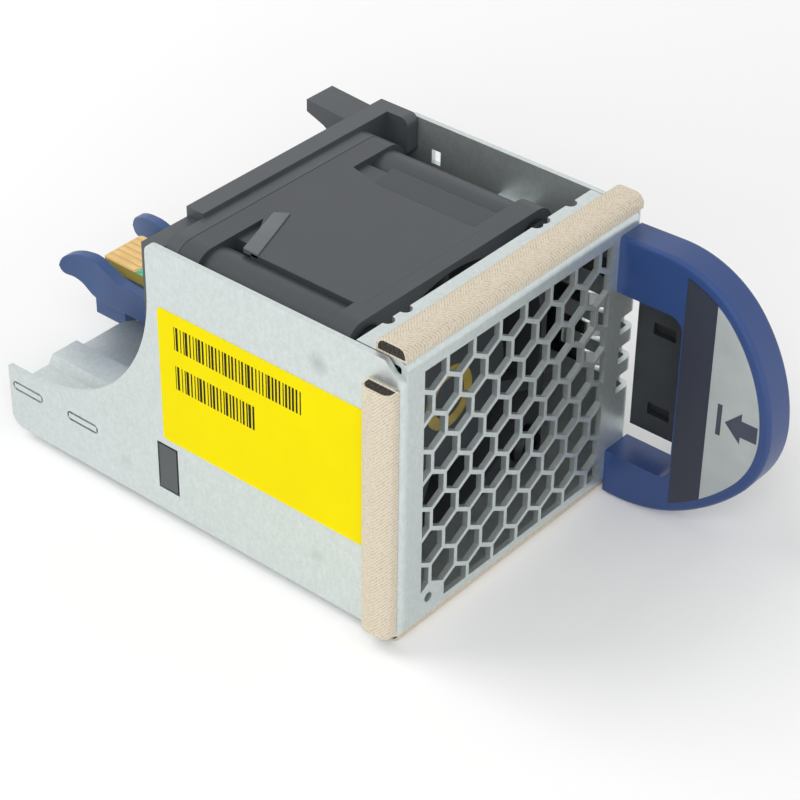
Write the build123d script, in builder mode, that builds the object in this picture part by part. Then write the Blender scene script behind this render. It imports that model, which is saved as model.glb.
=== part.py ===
from build123d import *
import math
import os

# A hot-swap fan tray for a network switch: a folded steel tray with a honeycomb front, one
# 40 mm axial fan, a moulded rear frame with a blind-mate card edge, and a handle whose
# sprung latch holds the tray in its bay.
# Axes: X across the tray (0 at mid width), Y into the bay (0 at the front panel), Z up (0
# under the floor). Millimetres.

os.makedirs("parts", exist_ok=True)

# ---- named sizes ----
overrun = 5.0

# folded sheet
sheet_t = 0.8
bend_r = 1.3
tray_w = 47.5
tray_h = 41.0
right_wall_d = 40.5
right_corner_r = 3.0
left_wall_d = 41.7
left_corner_r = 1.5
tail_d = 70.0
tail_h = 9.7
tail_sweep_r = 24.0
tail_corner_r = 2.0
flange_d = 7.8
flange_gap_left = 1.0
flange_gap_right = 0.9
flange_notch_r = 0.9
flange_notch_shares = (0.139, 0.206, 0.740, 0.770, 0.888)
corner_cut_y = 2.6
corner_cut_z = 2.7

# raised floor of the tail
step_y = 44.1
step_run = 1.8
tail_floor_z = 6.5
tail_floor_w = 22.6
tail_floor_d = 68.7
tail_floor_r = 3.5
tail_floor_gap = 0.15
bead_x = 6.4
bead_w = 5.6
bead_h = 1.3
bead_slope = 0.9
bead_y = 49.0
tab_slot_y = (52.7, 63.4)
tab_slot_l = 5.9
tab_slot_h = 1.5
tab_play = 0.3

# honeycomb of the front panel
hex_flats = 4.4
hex_pitch = 5.0
hex_x = 20.95
hex_z = 20.0
hex_rows = 4
hex_cols = 5
hex_area_left = 4.2
hex_area_margin = 6.5
hex_area_right = tray_w - hex_area_margin
hex_area_low = 2.0
hex_area_high = 38.4
pilot_x = 5.65
pilot_z = 3.5
pilot_r = 0.7

# spring fingers in the front right bend
finger_slot_in = 3.5
finger_slot_x = tray_w - finger_slot_in
finger_slot_d = 8.0
finger_slot_h = 2.65
finger_pitch = 4.65
finger_z = 20.0
finger_w = 2.0
finger_t = 0.25
finger_bulge = 1.7
finger_peak_y = 2.8
finger_tip_y = 1.1
finger_tip_in = 1.4
finger_strip_l = 3.0
finger_root = 0.9
finger_r = 0.9

# windows of the side walls
lug_window_y = 37.6
lug_window_z = 3.4
lug_window_l = 3.7
lug_window_h = 7.5
lug_play = 0.3
sight_y = 33.45
sight_z = 35.95
sight_l = 1.5
sight_h = 2.1

# fabric-over-foam gaskets
gasket_w = 4.7
gasket_h = 2.0
gasket_skin = 0.3
gasket_r = 1.3
gasket_inset = 0.1
top_gasket_short = 1.2
top_gasket_l = tray_w - top_gasket_short
side_gasket_l = 36.7
side_gasket_z = 0.8
side_gasket_y = 0.35
bottom_gasket_w = 4.0
bottom_gasket_h = 1.6

# fan
fan_size = 40.0
fan_depth = 28.0
fan_y = 9.9
fan_inset = 1.4
fan_lift = 0.1
fan_bore_r = 19.0
fan_wall = 0.9
fan_flange_t = 3.4
fan_corner_r = 3.2
fan_hole_pitch = 32.0
fan_hole_r = 1.8
fan_tube_r = 3.5
fan_panel_left = 14.0
fan_panel_right = 10.6
fan_panel_drop = 0.7
fan_base_r = 11.2
fan_base_t = 1.6
fan_base_inset = 0.2
fan_strut_w = 2.0
fan_strut_t = 2.4
fan_struts = 4
fan_strut_turn = 22.0

# rotor
rotor_y = 3.9
rotor_l = 18.0
hub_r = 11.4
hub_wall = 0.8
hub_edge_r = 1.2
blade_tip_gap = 0.4
blades = 5
blade_t = 0.9
blade_root_angle = 42.0
blade_tip_angle = 58.0
blade_root_l = 19.0
blade_tip_l = 21.0
blade_bow = 1.6
bow_share = 0.75
cup_wall = 0.6
magnet_t = 1.2
magnet_l = 8.0
shaft_r = 1.0
shaft_play = 0.03
shaft_l = 17.6
tube_r = 3.2
tube_wall = 0.7
tube_l = 14.0
bearing_l = 4.0
stator_gap = 0.4
stator_l = 5.0
stator_y = 4.0
stator_poles = 4
stator_ring_r = 4.6
pole_w = 2.4
pole_tip_w = 7.0
pole_tip_t = 1.0
winding_t = 1.1
board_r = 10.0
motor_board_t = 1.0
motor_label_r = 4.6
motor_label_core_r = 3.0
motor_label_t = 0.1

# fan screws
screw_r = 1.5
screw_head_r = 2.8
screw_head_h = 1.5
screw_bite = 4.6
screw_drive_r = 1.2
screw_drive_depth = 0.8

# rear frame
frame_gap = 0.1
frame_step_t = 2.2
frame_t = 5.1
frame_top = 41.5
frame_right_gap = 0.1
frame_corner_r = 1.2
frame_relief_x = 9.0
frame_relief_h = 1.5
frame_arm_in = 3.1
frame_arm_x = tray_w - frame_arm_in
frame_arm_y = 36.6
frame_arm_h = 6.0
peg_in = 6.9
peg_x = tray_w - peg_in
peg_w = 5.2
peg_l = 8.2
peg_tip_h = 1.8
peg_root_h = 7.0

# blind-mate plug
plug_x = 24.2
board_w = 7.6
board_t = 1.6
board_z = 15.2
board_y = 72.0
contact_l = 5.9
contact_w = 0.8
contact_t = 0.08
contacts = 6
contact_inset = 0.2
chip_y = 60.5
chip_l = 1.1
chip_w = 0.6
chip_h = 0.45
chip_pitch = 1.9
chip_columns = 3
chip_rows = 4
guide_half = 7.1
guide_wall = 1.9
guide_top = 17.1
guide_low = 7.6
guide_y = 60.0
horn_tip_y = 76.6
horn_tip_h = 2.7
horn_mid_y = 70.0
horn_mid_h = 6.4
horn_flare = 1.1
horn_r = 1.2
beam_w = 5.4
beam_y = 75.4
beam_low = 7.6
beam_high = 13.6
keel_y = 69.4
keel_z = 5.4

# handle
handle_t = 5.0
handle_x = tray_w - handle_t
handle_reach = 24.5
handle_low = 1.3
handle_h = 40.5
handle_web_t = 1.8
handle_rim = 1.5
handle_edge_r = 0.6
opening_reach = 10.3
opening_low = 5.6
opening_high = 30.8
opening_r = 2.0
recess_low = 6.9
recess_high = 34.0
label_gap = 0.25
label_t = 0.1
handle_knot_shares = (
    (0.000, 0.995),
    (0.268, 1.000),
    (0.786, 0.854),
    (1.000, 0.501),
    (0.860, 0.250),
    (0.500, 0.067),
    (0.000, 0.000),
)
handle_screw_in = 2.8
handle_screw_x = tray_w - handle_screw_in
handle_screw_low = 3.0
handle_screw_high = 36.3
handle_screw_r = 1.1
handle_screw_l = 6.0
handle_screw_head_r = 1.5
handle_screw_head_h = 1.2

# release latch
pivot_in = 2.9
pivot_x = tray_w - pivot_in
pivot_y = 20.0
pin_r = 1.0
pin_play = 0.05
barrel_r = 1.75
barrel_low = 28.4
barrel_high = 33.6
lug_gap = 0.3
lug_d = 5.0
spring_room = 2.4
pin_end = 0.5
arm_t = 1.5
arm_low = 30.4
arm_high = 33.4
arm_gap = 0.4
arm_slot_in = 4.2
arm_slot_x = tray_w - arm_slot_in
arm_slot_d = 9.0
arm_slot_play = 0.4
barb_y = 3.0
barb_l = 3.6
barb_h = 0.8
pad_in = 0.9
pad_x = tray_w - pad_in
pad_t = 1.6
pad_near = 0.9
pad_far = 20.0
pad_low = 8.4
pad_high = 31.8
pad_gap = 0.8
pad_neck = 5.0
pad_slot_y = 5.2
pad_slot_z = (12.1, 24.7)
pad_slot_l = 3.5
pad_slot_h = 1.8
spring_wire_r = 0.27
spring_turns = 2.5
spring_play = 0.1

# asset label on the left wall
side_label_y = 5.1
side_label_z = 12.0
side_label_l = 34.8
side_label_h = 20.3
side_label_t = 0.1
side_label_r = 0.6

# ---- places worked out from the sizes ----
left_x = -tray_w / 2
right_x = tray_w / 2
inner_left = left_x + sheet_t
inner_right = right_x - sheet_t
fan_x = left_x + fan_inset + fan_size / 2
fan_z = sheet_t + fan_lift + fan_size / 2
fan_rear = fan_y + fan_depth
hex_row = hex_pitch * math.sqrt(3) / 2
frame_y = fan_rear + frame_gap
frame_rear = frame_y + frame_t
blade_r = fan_bore_r - blade_tip_gap
base_y = fan_y + fan_base_inset
rotor_front = fan_y + rotor_y
rotor_rear = rotor_front + rotor_l
cup_r = hub_r - hub_wall
magnet_r = cup_r - cup_wall
stator_r = magnet_r - magnet_t - stator_gap


def fan_plane(y):
    """Sketch plane across the fan's axis at a given depth, its normal pointing into the bay."""
    return Plane(origin=(fan_x, y, fan_z), x_dir=(-1, 0, 0), z_dir=(0, 1, 0))


def front_plane(y):
    """Sketch plane parallel to the front panel, local x along X, local y along Z."""
    return Plane(origin=(0, y, 0), x_dir=(1, 0, 0), z_dir=(0, -1, 0))


def side_plane(x):
    """Sketch plane parallel to the side walls, local x along Y, local y along Z."""
    return Plane(origin=(x, 0, 0), x_dir=(0, 1, 0), z_dir=(1, 0, 0))


def write(piece, name):
    """Labels a finished piece and writes its file."""
    piece.part.label = name
    export_step(piece.part, f"parts/{name}.step")


# ---- folded tray ----
# The room inside the box-like front part, with the inner radii of the bends.
with BuildPart() as room:
    with BuildSketch(Plane.XY) as room_plan:
        with Locations((0, sheet_t)):
            Rectangle(tray_w - 2 * sheet_t, tail_d, align=(Align.CENTER, Align.MIN))
        fillet(room_plan.vertices().group_by(Axis.Y)[0], bend_r - sheet_t)
    extrude(amount=tray_h)
    with BuildSketch(side_plane(left_x)) as room_side:
        with Locations((sheet_t, sheet_t)):
            Rectangle(tail_d, tray_h - 2 * sheet_t, align=(Align.MIN, Align.MIN))
        fillet(room_side.vertices().group_by(Axis.X)[0], bend_r - sheet_t)
    extrude(amount=tray_w, mode=Mode.INTERSECT)

with BuildPart() as tray:
    # folded block: rounded bends round the front, under the floor and over the top flange
    with BuildSketch(Plane.XY) as tray_plan:
        Rectangle(tray_w, right_wall_d, align=(Align.CENTER, Align.MIN))
        fillet(tray_plan.vertices().group_by(Axis.Y)[0], bend_r)
    extrude(amount=tray_h)
    with BuildSketch(side_plane(left_x)) as tray_side:
        Rectangle(right_wall_d, tray_h, align=(Align.MIN, Align.MIN))
        fillet(tray_side.vertices().group_by(Axis.X)[0], bend_r)
        fillet(tray_side.vertices().group_by(Axis.X)[-1].sort_by(Axis.Y)[-1], right_corner_r)
    extrude(amount=tray_w, mode=Mode.INTERSECT)
    add(room.part, mode=Mode.SUBTRACT)

    # left wall with its swept tail
    sweep_y = left_wall_d + tail_sweep_r
    sweep_z = tail_h + tail_sweep_r
    with BuildSketch(side_plane(left_x)) as left_wall:
        with BuildLine():
            Polyline((bend_r, tray_h), (bend_r, 0), (tail_d, 0), (tail_d, tail_h), (sweep_y, tail_h))
            CenterArc((sweep_y, sweep_z), tail_sweep_r, 180, 90)
            Polyline((left_wall_d, sweep_z), (left_wall_d, tray_h), (bend_r, tray_h))
        make_face()
        rear_corners = left_wall.vertices().group_by(Axis.X)[-1]
        fillet(rear_corners.sort_by(Axis.Y)[0], tail_corner_r)
        fillet(left_wall.vertices().sort_by(Axis.Y)[-2:].sort_by(Axis.X)[-1], left_corner_r)
    extrude(amount=sheet_t)

    # raised tail floor, stepped up behind the fan, with a stiffening bead
    with BuildSketch(side_plane(inner_left + tail_floor_gap)) as tail_floor:
        with BuildLine():
            Polyline(
                (flange_d, 0),
                (step_y, 0),
                (step_y + step_run, tail_floor_z),
                (tail_floor_d, tail_floor_z),
                (tail_floor_d, tail_floor_z + sheet_t),
                (step_y + step_run - sheet_t, tail_floor_z + sheet_t),
                (step_y - sheet_t, sheet_t),
                (flange_d, sheet_t),
                close=True,
            )
        make_face()
    extrude(amount=tail_floor_w - sheet_t - tail_floor_gap)
    fillet(
        tray.edges().filter_by(Axis.Z).group_by(Axis.Y)[-2:][0].sort_by(Axis.X)[-1:],
        tail_floor_r,
    )
    with BuildSketch(Plane.XY.offset(tail_floor_z)) as bead_gap:
        with Locations((left_x + bead_x, bead_y)):
            Rectangle(bead_w, tail_d - bead_y, align=(Align.MIN, Align.MIN))
    extrude(amount=sheet_t, mode=Mode.SUBTRACT)
    with BuildSketch(front_plane(tail_floor_d)) as bead:
        with Locations((left_x + bead_x + bead_w / 2, tail_floor_z)):
            Trapezoid(
                bead_w + 2 * bead_slope,
                bead_h + sheet_t,
                math.degrees(math.atan2(bead_h, bead_slope)),
                align=(Align.CENTER, Align.MIN),
            )
            Trapezoid(
                bead_w,
                bead_h,
                math.degrees(math.atan2(bead_h, bead_slope)),
                align=(Align.CENTER, Align.MIN),
                mode=Mode.SUBTRACT,
            )
    extrude(amount=tail_floor_d - bead_y)
    with BuildSketch(front_plane(bead_y)) as bead_end:
        with Locations((left_x + bead_x + bead_w / 2, tail_floor_z)):
            Trapezoid(
                bead_w + 2 * bead_slope,
                bead_h + sheet_t,
                math.degrees(math.atan2(bead_h, bead_slope)),
                align=(Align.CENTER, Align.MIN),
            )
    extrude(amount=sheet_t)

    # slots of the left wall, each with the end of a tail floor tab in it
    tab_z = tail_floor_z + sheet_t / 2
    with BuildSketch(side_plane(left_x)) as tab_slots:
        with Locations(*[(y + tab_slot_l / 2, tab_z) for y in tab_slot_y]):
            SlotOverall(tab_slot_l, tab_slot_h)
    extrude(amount=sheet_t, mode=Mode.SUBTRACT)
    with BuildSketch(side_plane(left_x)) as tabs:
        with Locations(*[(y + tab_slot_l / 2, tab_z) for y in tab_slot_y]):
            Rectangle(tab_slot_l - 2 * tab_play, sheet_t)
    extrude(amount=sheet_t + 2 * tail_floor_gap)

    # top opened behind the flange, and the ends of the flange cut clear of the side walls
    with BuildSketch(Plane.XY.offset(tray_h - 2 * sheet_t)) as top_open:
        with Locations((0, flange_d)):
            Rectangle(inner_right - inner_left, tray_w, align=(Align.CENTER, Align.MIN))
        with Locations(*[(left_x + share * tray_w, flange_d) for share in flange_notch_shares]):
            Circle(flange_notch_r)
    extrude(amount=overrun, mode=Mode.SUBTRACT)
    with BuildSketch(Plane.XY.offset(tray_h - bend_r)) as flange_ends:
        with Locations((inner_left, 0)):
            Rectangle(flange_gap_left - sheet_t, flange_d, align=(Align.MIN, Align.MIN))
        with Locations((right_x - flange_gap_right, 0)):
            Rectangle(flange_gap_right - sheet_t, flange_d, align=(Align.MIN, Align.MIN))
    extrude(amount=overrun, mode=Mode.SUBTRACT)
    with BuildSketch(side_plane(left_x - overrun)) as corner_cut:
        with BuildLine():
            Polyline(
                (-overrun, tray_h - corner_cut_z),
                (0, tray_h - corner_cut_z),
                (corner_cut_y, tray_h),
                (corner_cut_y, tray_h + overrun),
                (-overrun, tray_h + overrun),
                close=True,
            )
        make_face()
    extrude(amount=overrun + flange_gap_left, mode=Mode.SUBTRACT)

    # honeycomb: upright hexagons, cut off square at the edges of the vented area
    cells = [
        (left_x + hex_x + (col + (row % 2) / 2) * hex_pitch, hex_z + row * hex_row)
        for row in range(-hex_rows, hex_rows + 1)
        for col in range(-hex_cols, hex_cols + 1)
    ]
    pilot = (left_x + pilot_x, pilot_z)
    with BuildSketch(front_plane(0)) as honeycomb:
        with Locations(*[cell for cell in cells if math.dist(cell, pilot) > hex_flats / 2]):
            RegularPolygon(hex_flats / 2, 6, major_radius=False, rotation=30)
        with Locations((left_x + hex_area_left, hex_area_low)):
            Rectangle(
                hex_area_right - hex_area_left,
                hex_area_high - hex_area_low,
                align=(Align.MIN, Align.MIN),
                mode=Mode.INTERSECT,
            )
        with Locations(pilot):
            Circle(pilot_r)
    extrude(amount=-2 * sheet_t, mode=Mode.SUBTRACT)

    # slots round the right bend: three for the spring fingers, one for the latch arm
    finger_zs = [finger_z + i * finger_pitch for i in (-1, 0, 1)]
    with BuildSketch(front_plane(-overrun)) as finger_slots:
        with Locations(*[(left_x + finger_slot_x, z) for z in finger_zs]):
            Rectangle(tray_w, finger_slot_h, align=(Align.MIN, Align.CENTER))
    extrude(amount=-(overrun + finger_slot_d), mode=Mode.SUBTRACT)
    with BuildSketch(front_plane(-overrun)) as arm_slot:
        with Locations((left_x + arm_slot_x, arm_low - arm_slot_play)):
            Rectangle(
                tray_w, arm_high - arm_low + 2 * arm_slot_play, align=(Align.MIN, Align.MIN)
            )
    extrude(amount=-(overrun + arm_slot_d), mode=Mode.SUBTRACT)

    # lug window of the left wall and sight hole of the right wall
    with BuildSketch(side_plane(left_x)) as lug_window:
        with Locations((lug_window_y, lug_window_z)):
            Rectangle(lug_window_l, lug_window_h, align=(Align.MIN, Align.MIN))
    extrude(amount=sheet_t, mode=Mode.SUBTRACT)
    with BuildSketch(side_plane(inner_right)) as sight:
        with Locations((sight_y, sight_z)):
            Rectangle(sight_l, sight_h)
    extrude(amount=sheet_t, mode=Mode.SUBTRACT)

    # two lugs bent in from the right wall carry the latch pin
    pin_x = left_x + pivot_x
    lug_heights = (barrel_low - spring_room - lug_gap - sheet_t, barrel_high + lug_gap)
    for lug_z in lug_heights:
        with BuildSketch(Plane.XY.offset(lug_z)) as lug:
            with Locations((pin_x, pivot_y)):
                Circle(lug_d / 2)
            with Locations((pin_x, pivot_y)):
                Rectangle(inner_right - pin_x, lug_d, align=(Align.MIN, Align.CENTER))
            with Locations((inner_right, pivot_y)):
                Rectangle(overrun, lug_d, align=(Align.MIN, Align.CENTER), mode=Mode.SUBTRACT)
            with Locations((pin_x, pivot_y)):
                Circle(pin_r, mode=Mode.SUBTRACT)
        extrude(amount=sheet_t)

    # holes for the two handle screws
    handle_screws_at = [
        (left_x + handle_screw_x, handle_screw_low),
        (left_x + handle_screw_x, handle_screw_high),
    ]
    with BuildSketch(front_plane(0)) as screw_holes:
        with Locations(*handle_screws_at):
            Circle(handle_screw_r)
    extrude(amount=-2 * sheet_t, mode=Mode.SUBTRACT)
write(tray, "tray")

# ---- spring fingers ----
with BuildPart() as fingers:
    strip_x = inner_right - finger_t / 2
    with BuildSketch(Plane.XY.offset(finger_z - finger_w / 2)) as finger:
        with BuildLine():
            FilletPolyline(
                (strip_x, finger_slot_d + finger_strip_l),
                (strip_x, finger_slot_d - finger_root),
                (right_x + finger_bulge, finger_peak_y),
                (right_x - finger_tip_in, finger_tip_y),
                radius=finger_r,
            )
        trace(line_width=finger_t)
    extrude(amount=finger_w)
    with Locations((0, 0, finger_pitch), (0, 0, -finger_pitch)):
        add(fingers.part)
    with BuildSketch(side_plane(inner_right - finger_t)) as finger_strip:
        with Locations((finger_slot_d + finger_strip_l, finger_z)):
            Rectangle(finger_strip_l, 2 * finger_pitch + finger_w, align=(Align.MIN, Align.CENTER))
    extrude(amount=finger_t)
write(fingers, "spring_fingers")


# ---- gaskets: a fabric sleeve of D section round a foam core ----
with BuildPart() as top_gasket:
    gasket_mid = gasket_inset + gasket_w / 2
    with BuildSketch(side_plane(left_x + flange_gap_left)) as top_sleeve:
        with Locations((gasket_mid, tray_h)):
            Rectangle(gasket_w, gasket_h, align=(Align.CENTER, Align.MIN))
        fillet(top_sleeve.vertices().group_by(Axis.Y)[-1], gasket_r)
        offset(amount=-gasket_skin, mode=Mode.SUBTRACT)
    extrude(amount=top_gasket_l)
write(top_gasket, "top_gasket")

with BuildPart() as top_foam:
    with BuildSketch(side_plane(left_x + flange_gap_left)) as top_core:
        with Locations((gasket_mid, tray_h)):
            Rectangle(gasket_w, gasket_h, align=(Align.CENTER, Align.MIN))
        fillet(top_core.vertices().group_by(Axis.Y)[-1], gasket_r)
        offset(amount=-gasket_skin, mode=Mode.REPLACE)
    extrude(amount=top_gasket_l)
write(top_foam, "top_gasket_foam")

side_gasket_mid = side_gasket_y + gasket_w / 2
with BuildPart() as side_gasket:
    with BuildSketch(Plane.XY.offset(side_gasket_z)) as side_sleeve:
        with Locations((left_x, side_gasket_mid)):
            Rectangle(gasket_h, gasket_w, align=(Align.MAX, Align.CENTER))
        fillet(side_sleeve.vertices().group_by(Axis.X)[0], gasket_r)
        offset(amount=-gasket_skin, mode=Mode.SUBTRACT)
    extrude(amount=side_gasket_l)
write(side_gasket, "side_gasket")

with BuildPart() as side_foam:
    with BuildSketch(Plane.XY.offset(side_gasket_z)) as side_core:
        with Locations((left_x, side_gasket_mid)):
            Rectangle(gasket_h, gasket_w, align=(Align.MAX, Align.CENTER))
        fillet(side_core.vertices().group_by(Axis.X)[0], gasket_r)
        offset(amount=-gasket_skin, mode=Mode.REPLACE)
    extrude(amount=side_gasket_l)
write(side_foam, "side_gasket_foam")

with BuildPart() as bottom_gasket:
    with BuildSketch(side_plane(left_x + flange_gap_left)) as bottom_sleeve:
        with Locations((side_gasket_mid, 0)):
            Rectangle(bottom_gasket_w, bottom_gasket_h, align=(Align.CENTER, Align.MAX))
        fillet(bottom_sleeve.vertices().group_by(Axis.Y)[0], gasket_r)
        offset(amount=-gasket_skin, mode=Mode.SUBTRACT)
    extrude(amount=top_gasket_l)
write(bottom_gasket, "bottom_gasket")

with BuildPart() as bottom_foam:
    with BuildSketch(side_plane(left_x + flange_gap_left)) as bottom_core:
        with Locations((side_gasket_mid, 0)):
            Rectangle(bottom_gasket_w, bottom_gasket_h, align=(Align.CENTER, Align.MAX))
        fillet(bottom_core.vertices().group_by(Axis.Y)[0], gasket_r)
        offset(amount=-gasket_skin, mode=Mode.REPLACE)
    extrude(amount=top_gasket_l)
write(bottom_foam, "bottom_gasket_foam")

# ---- label on the left wall ----
with BuildPart() as side_label:
    with BuildSketch(side_plane(left_x)) as side_label_face:
        with Locations((side_label_y + side_label_l / 2, side_label_z + side_label_h / 2)):
            RectangleRounded(side_label_l, side_label_h, side_label_r)
    extrude(amount=-side_label_t)
write(side_label, "side_label")

# ---- fan housing ----
with BuildPart() as fan_frame:
    # waist between the flanges: the round duct, four screw tubes and the flat top and bottom
    with BuildSketch(fan_plane(fan_y)) as waist:
        Circle(fan_size / 2)
        with GridLocations(fan_hole_pitch, fan_hole_pitch, 2, 2):
            Circle(fan_tube_r)
        Rectangle(fan_panel_right + fan_panel_left, fan_size - 2 * fan_panel_drop)
        Rectangle(fan_size, fan_size, mode=Mode.INTERSECT)
    extrude(amount=fan_depth)
    with BuildSketch(fan_plane(fan_y)) as front_flange:
        RectangleRounded(fan_size, fan_size, fan_corner_r)
    extrude(amount=fan_flange_t)
    with BuildSketch(fan_plane(fan_rear)) as rear_flange:
        RectangleRounded(fan_size, fan_size, fan_corner_r)
    extrude(amount=-fan_flange_t)
    with BuildSketch(fan_plane(fan_y)) as duct:
        Circle(fan_bore_r)
        with GridLocations(fan_hole_pitch, fan_hole_pitch, 2, 2):
            Circle(fan_hole_r)
    extrude(amount=fan_depth, mode=Mode.SUBTRACT)

    # motor base at the front, held by struts
    with BuildSketch(fan_plane(base_y)) as base:
        Circle(fan_base_r)
    extrude(amount=fan_base_t)
    with BuildSketch(fan_plane(base_y)) as struts:
        with PolarLocations(0, fan_struts, start_angle=fan_strut_turn):
            Rectangle(fan_bore_r + fan_wall / 2, fan_strut_w, align=(Align.MIN, Align.CENTER))
    extrude(amount=fan_strut_t)
    # seat of the bearing tube through the base
    with BuildSketch(fan_plane(base_y + motor_label_t)) as tube_seat:
        Circle(tube_r)
    extrude(amount=fan_strut_t, mode=Mode.SUBTRACT)
write(fan_frame, "fan_frame")

with BuildPart() as motor_label:
    with BuildSketch(fan_plane(base_y)) as motor_label_face:
        Circle(motor_label_r)
        Circle(motor_label_core_r, mode=Mode.SUBTRACT)
    extrude(amount=-motor_label_t)
write(motor_label, "motor_label")

# ---- motor ----
tube_y = base_y + motor_label_t
with BuildPart() as tube:
    with BuildSketch(fan_plane(tube_y)) as tube_ring:
        Circle(tube_r)
        Circle(tube_r - tube_wall, mode=Mode.SUBTRACT)
    extrude(amount=tube_l)
    with BuildSketch(fan_plane(tube_y)) as tube_floor:
        Circle(tube_r)
    extrude(amount=tube_wall)
write(tube, "bearing_tube")

bearing_ys = (tube_y + tube_wall, tube_y + tube_l - bearing_l)
with BuildPart() as bearings:
    for bearing_y in bearing_ys:
        with BuildSketch(fan_plane(bearing_y)) as bearing:
            Circle(tube_r - tube_wall)
            Circle(shaft_r + shaft_play, mode=Mode.SUBTRACT)
        extrude(amount=bearing_l)
write(bearings, "fan_bearings")

stator_front = rotor_front + stator_y
with BuildPart() as stator:
    with BuildSketch(fan_plane(stator_front)) as laminations:
        Circle(stator_ring_r)
        with PolarLocations(0, stator_poles):
            Rectangle(stator_r - pole_tip_t, pole_w, align=(Align.MIN, Align.CENTER))
        with PolarLocations(stator_r - pole_tip_t, stator_poles):
            Rectangle(2 * pole_tip_t, pole_tip_w, align=(Align.MIN, Align.CENTER))
        Circle(stator_r, mode=Mode.INTERSECT)
        Circle(tube_r, mode=Mode.SUBTRACT)
    extrude(amount=stator_l)
write(stator, "stator_core")

with BuildPart() as windings:
    winding_in = stator_ring_r
    winding_out = stator_r - 2 * pole_tip_t
    with BuildSketch(fan_plane(stator_front - winding_t)) as coils:
        with PolarLocations(winding_in, stator_poles):
            Rectangle(
                winding_out - winding_in, pole_w + 2 * winding_t, align=(Align.MIN, Align.CENTER)
            )
    extrude(amount=stator_l + 2 * winding_t)
    with BuildSketch(fan_plane(stator_front)) as coil_cores:
        with PolarLocations(0, stator_poles):
            Rectangle(stator_r, pole_w, align=(Align.MIN, Align.CENTER))
        Circle(stator_ring_r)
    extrude(amount=stator_l, mode=Mode.SUBTRACT)
write(windings, "stator_windings")

with BuildPart() as motor_board:
    with BuildSketch(fan_plane(base_y + fan_base_t)) as motor_board_ring:
        Circle(board_r)
        Circle(tube_r, mode=Mode.SUBTRACT)
    extrude(amount=motor_board_t)
    with BuildSketch(fan_plane(base_y)) as strut_room:
        with PolarLocations(0, fan_struts, start_angle=fan_strut_turn):
            Rectangle(fan_bore_r, fan_strut_w, align=(Align.MIN, Align.CENTER))
    extrude(amount=fan_strut_t, mode=Mode.SUBTRACT)
write(motor_board, "motor_board")

# ---- rotor ----
# One blade: a bowed vane lofted from its root section on the hub to its tip section.
def vane_section(radius, length, angle):
    """Bowed section of the vane on a plane square to the radius."""
    plane = Plane(origin=(fan_x, rotor_front + rotor_l / 2, fan_z + radius), x_dir=(0, 1, 0))
    half = length / 2
    with BuildSketch(plane.rotated((0, 0, angle))) as section:
        with BuildLine():
            Polyline(
                (-half, 0),
                (-half / 2, blade_bow * bow_share + blade_t / 2),
                (half / 2, blade_bow * bow_share + blade_t / 2),
                (half, 0),
                (half / 2, blade_bow * bow_share - blade_t / 2),
                (-half / 2, blade_bow * bow_share - blade_t / 2),
                close=True,
            )
        make_face()
    return section.sketch


with BuildPart() as vane:
    root = vane_section(hub_r - hub_wall / 2, blade_root_l, blade_root_angle)
    tip = vane_section(fan_bore_r, blade_tip_l, blade_tip_angle)
    loft([root, tip], ruled=True)
    with BuildSketch(fan_plane(rotor_front)) as sweep_room:
        Circle(blade_r)
    extrude(amount=rotor_l, mode=Mode.INTERSECT)

with BuildPart() as impeller:
    with BuildSketch(fan_plane(rotor_front)) as hub:
        Circle(hub_r)
    extrude(amount=rotor_l)
    fillet(impeller.edges().group_by(Axis.Y)[-1], hub_edge_r)
    with BuildSketch(fan_plane(rotor_front)) as hub_room:
        Circle(cup_r)
    extrude(amount=rotor_l - 2 * hub_wall, mode=Mode.SUBTRACT)
    for turn in range(blades):
        add(vane.part.rotate(Axis((fan_x, 0, fan_z), (0, 1, 0)), turn * 360 / blades))
    with BuildSketch(fan_plane(rotor_front)) as cup_space:
        Circle(cup_r)
    extrude(amount=rotor_l - 2 * hub_wall, mode=Mode.SUBTRACT)
write(impeller, "impeller")

cup_rear = rotor_rear - 2 * hub_wall
with BuildPart() as cup:
    with BuildSketch(fan_plane(rotor_front)) as cup_body:
        Circle(cup_r)
    extrude(amount=cup_rear - rotor_front)
    with BuildSketch(fan_plane(rotor_front)) as cup_inside:
        Circle(cup_r - cup_wall)
    extrude(amount=cup_rear - rotor_front - cup_wall, mode=Mode.SUBTRACT)
    with BuildSketch(fan_plane(rotor_front)) as cup_bore:
        Circle(shaft_r)
    extrude(amount=rotor_l, mode=Mode.SUBTRACT)
write(cup, "rotor_cup")

with BuildPart() as magnet:
    with BuildSketch(fan_plane(stator_front + (stator_l - magnet_l) / 2)) as magnet_ring:
        Circle(magnet_r)
        Circle(magnet_r - magnet_t, mode=Mode.SUBTRACT)
    extrude(amount=magnet_l)
write(magnet, "rotor_magnet")

with BuildPart() as shaft:
    with BuildSketch(fan_plane(cup_rear)) as shaft_section:
        Circle(shaft_r)
    extrude(amount=-shaft_l)
write(shaft, "fan_shaft")

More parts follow.
